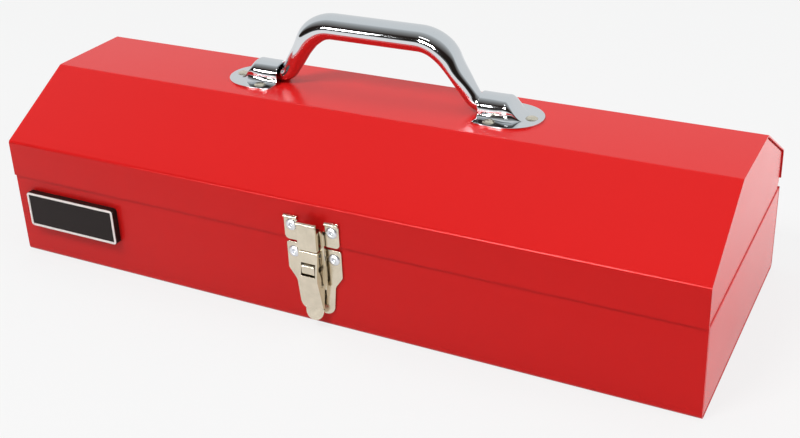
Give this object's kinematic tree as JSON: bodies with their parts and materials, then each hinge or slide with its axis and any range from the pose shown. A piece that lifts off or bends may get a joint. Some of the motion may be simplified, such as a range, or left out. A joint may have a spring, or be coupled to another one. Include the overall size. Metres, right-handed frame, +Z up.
{
  "type": "steel tool box",
  "caption": "Portable steel tool box with a hipped hinged lid, a draw latch with padlock eye, a swinging bail handle and a lift-out tray.",
  "frame": {"origin": "centre of the box's footprint, on the surface that it stands on", "axes": "+X along the box's length to the right, +Y from the front with the latch to the hinged back, +Z up"},
  "size_m": [0.4826, 0.1972, 0.1722],
  "materials": {
    "body_paint": "semi-gloss red enamel",
    "lid_paint": "semi-gloss red enamel",
    "hinge_steel": "red enamel over steel",
    "pin_steel": "bright drawn wire",
    "latch_plating": "nickel plated pressed steel",
    "rivets": "bare blind rivets",
    "handle_chrome": "bright chrome plate",
    "bracket_chrome": "bright chrome plate on pressed steel",
    "badge_field": "black printed plate, left bare",
    "badge_line": "off-white raised line",
    "tray_paint": "red enamel"
  },
  "bodies": {
    "box": {"body_wrap": "body_paint", "body_end_left": "body_paint", "body_end_right": "body_paint", "hinge_body_leaf": "hinge_steel", "hinge_pin": "pin_steel", "latch_base": "latch_plating", "latch_base_rivets": "rivets", "padlock_staple": "latch_plating", "lever_pivot_pin": "pin_steel", "badge_plate": "badge_field", "badge_border": "badge_line", "tray_ledge_left": "body_paint", "tray_ledge_right": "body_paint"},
    "lid": {"lid_wrap": "lid_paint", "lid_end_left": "lid_paint", "lid_end_right": "lid_paint", "hinge_lid_leaf": "hinge_steel", "keeper": "latch_plating", "keeper_rivets": "rivets", "handle_bracket_left": "bracket_chrome", "handle_bracket_right": "bracket_chrome", "handle_rivets_left": "rivets", "handle_rivets_right": "rivets"},
    "bail": {"handle": "handle_chrome"},
    "lever": {"latch_lever": "latch_plating"},
    "loop": {"latch_loop": "latch_plating"},
    "tray": {"tray_pan": "tray_paint", "tray_handle": "tray_paint"}
  },
  "joints": [
    {"name": "lid_hinge", "type": "hinge", "parent": "box", "child": "lid", "pos_m": [0, 0.0934, 0.0622], "axis": [-1, 0, 0], "range_deg": [0, 105]},
    {"name": "handle_swing", "type": "hinge", "parent": "lid", "child": "bail", "pos_m": [0, 0, 0.1265], "axis": [1, 0, 0], "range_deg": [-75, 75]},
    {"name": "latch_lever", "type": "hinge", "parent": "box", "child": "lever", "pos_m": [0, -0.0954, 0.0526], "axis": [-1, 0, 0], "range_deg": [0, 80]},
    {"name": "latch_loop", "type": "hinge", "parent": "lever", "child": "loop", "pos_m": [0, -0.0946, 0.0312], "axis": [-1, 0, 0], "range_deg": [-44, 0]},
    {"name": "tray_lift", "type": "slide", "parent": "box", "child": "tray", "axis": [0, 0, 1], "range_m": [0, 0.028]}
  ],
  "couplings": [
    {"joint": "latch_loop", "follows": "latch_lever", "ratio": -0.55}
  ]
}
